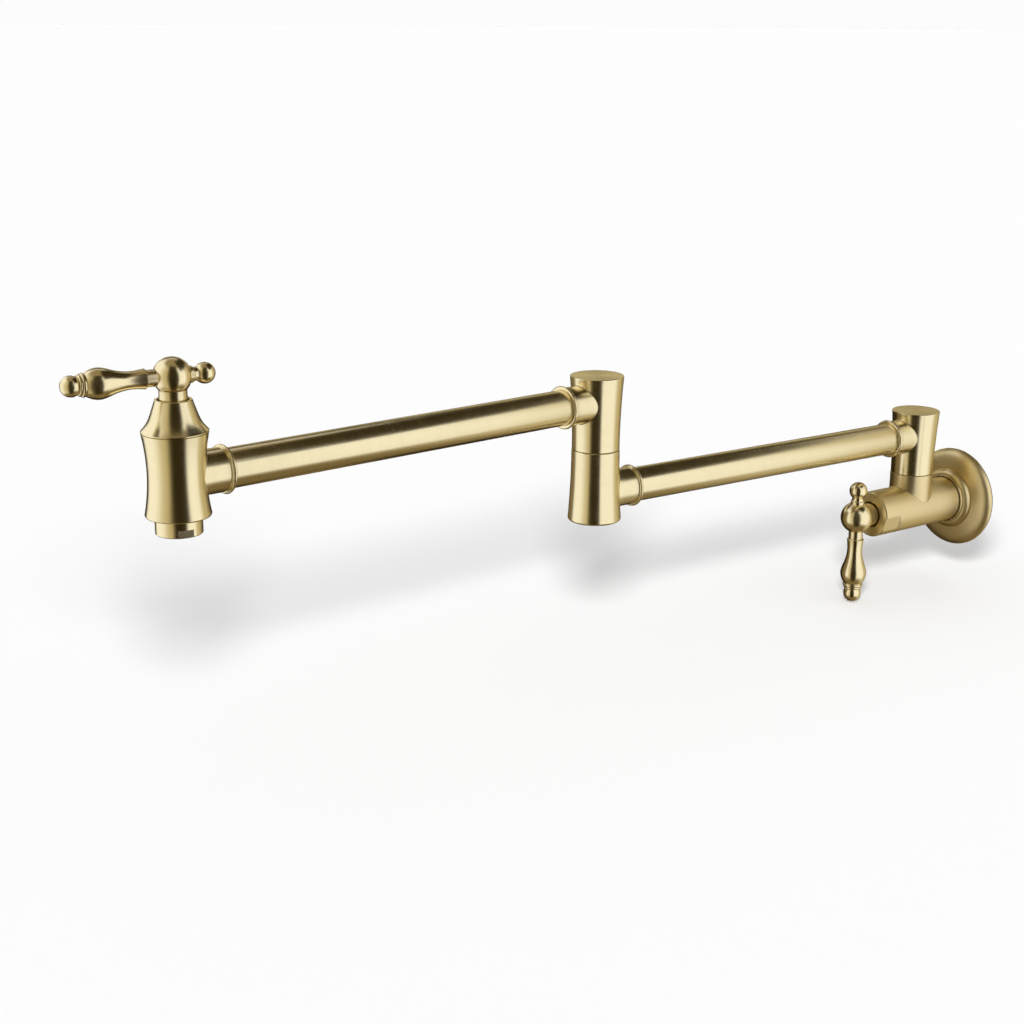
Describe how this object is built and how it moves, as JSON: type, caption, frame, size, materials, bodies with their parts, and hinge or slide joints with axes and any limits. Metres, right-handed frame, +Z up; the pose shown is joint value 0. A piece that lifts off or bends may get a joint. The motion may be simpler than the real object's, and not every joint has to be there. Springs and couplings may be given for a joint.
{
  "type": "wall mounted pot filler",
  "caption": "Wall mounted kitchen pot filler: a wall valve, folding double-jointed swivel arms and a spout head with its own valve, each valve with a lever handle.",
  "frame": {"origin": "centre of the supply inlet's mouth, on the wall plane", "axes": "+Y into the wall along the inlet, -Y out of the wall, +Z up, +X to the right of someone who faces the wall; the arms lie nearly along -Y at rest"},
  "size_m": [0.0724, 0.695, 0.2383],
  "materials": {
    "brushed_gold": "brushed satin gold, fine brush lines round the turned parts and along the tubes",
    "polished_gold": "finely polished satin gold",
    "plain_brass": "machined, uncoated",
    "black_rubber": "moulded, matt",
    "white_ceramic": "lapped alumina ceramic",
    "stainless_steel": "plain stainless steel",
    "nylon": "moulded, natural white"
  },
  "bodies": {
    "wall_valve": {"wall_gasket": "black_rubber", "wall_flange": "brushed_gold", "flange_o_ring": "black_rubber", "wall_valve_body": "brushed_gold", "inlet_washer": "black_rubber", "inlet_screen": "stainless_steel", "wall_cartridge_seat_seal": "black_rubber", "wall_cartridge_housing": "plain_brass", "wall_cartridge_o_ring": "black_rubber", "wall_cartridge_fixed_disc": "white_ceramic", "shoulder_spindle": "plain_brass", "shoulder_o_rings": "black_rubber", "shoulder_thrust_washer": "nylon"},
    "wall_handle": {"wall_cartridge_moving_disc": "white_ceramic", "wall_cartridge_spindle": "plain_brass", "wall_spindle_o_ring": "black_rubber", "wall_spindle_clip": "stainless_steel", "wall_handle_hub": "brushed_gold", "wall_handle_lever": "polished_gold", "wall_handle_finial": "polished_gold", "wall_handle_grub_screw": "stainless_steel"},
    "inner_arm": {"shoulder_sleeve": "brushed_gold", "shoulder_grub_screw": "stainless_steel", "inner_arm_tube": "brushed_gold", "inner_arm_shoulder_ring": "brushed_gold", "inner_arm_elbow_ring": "brushed_gold", "elbow_lower_sleeve": "brushed_gold", "elbow_spindle": "plain_brass", "elbow_o_rings": "black_rubber", "elbow_thrust_washer": "nylon"},
    "outer_arm": {"elbow_upper_sleeve": "brushed_gold", "elbow_grub_screw": "stainless_steel", "outer_arm_tube": "brushed_gold", "outer_arm_elbow_ring": "brushed_gold", "outer_arm_spout_ring": "brushed_gold", "spout_body": "brushed_gold", "spout_bonnet": "brushed_gold", "spout_cartridge_seat_seal": "black_rubber", "spout_cartridge_housing": "plain_brass", "spout_cartridge_o_ring": "black_rubber", "spout_cartridge_fixed_disc": "white_ceramic", "aerator_housing": "brushed_gold", "aerator_washer": "black_rubber", "aerator_insert": "nylon"},
    "spout_handle": {"spout_cartridge_moving_disc": "white_ceramic", "spout_cartridge_spindle": "plain_brass", "spout_spindle_o_ring": "black_rubber", "spout_spindle_clip": "stainless_steel", "spout_handle_hub": "brushed_gold", "spout_handle_lever": "polished_gold", "spout_handle_finial": "polished_gold", "spout_handle_grub_screw": "stainless_steel"}
  },
  "joints": [
    {"name": "shoulder_swivel", "type": "hinge", "parent": "wall_valve", "child": "inner_arm", "pos_m": [0, -0.0497, 0.0259], "axis": [0, 0, 1], "range_deg": [-88.8, 91.2]},
    {"name": "elbow_swivel", "type": "hinge", "parent": "inner_arm", "child": "outer_arm", "pos_m": [-0.00609, -0.34064, 0.0819], "axis": [0, 0, 1], "continuous": true},
    {"name": "wall_valve_turn", "type": "hinge", "parent": "wall_valve", "child": "wall_handle", "pos_m": [0, -0.1051, 0], "axis": [0, -1, 0], "range_deg": [0, 90]},
    {"name": "spout_valve_turn", "type": "hinge", "parent": "outer_arm", "child": "spout_handle", "pos_m": [0.01721, -0.63672, 0.1658], "axis": [0, 0, 1], "range_deg": [0, 90]}
  ]
}
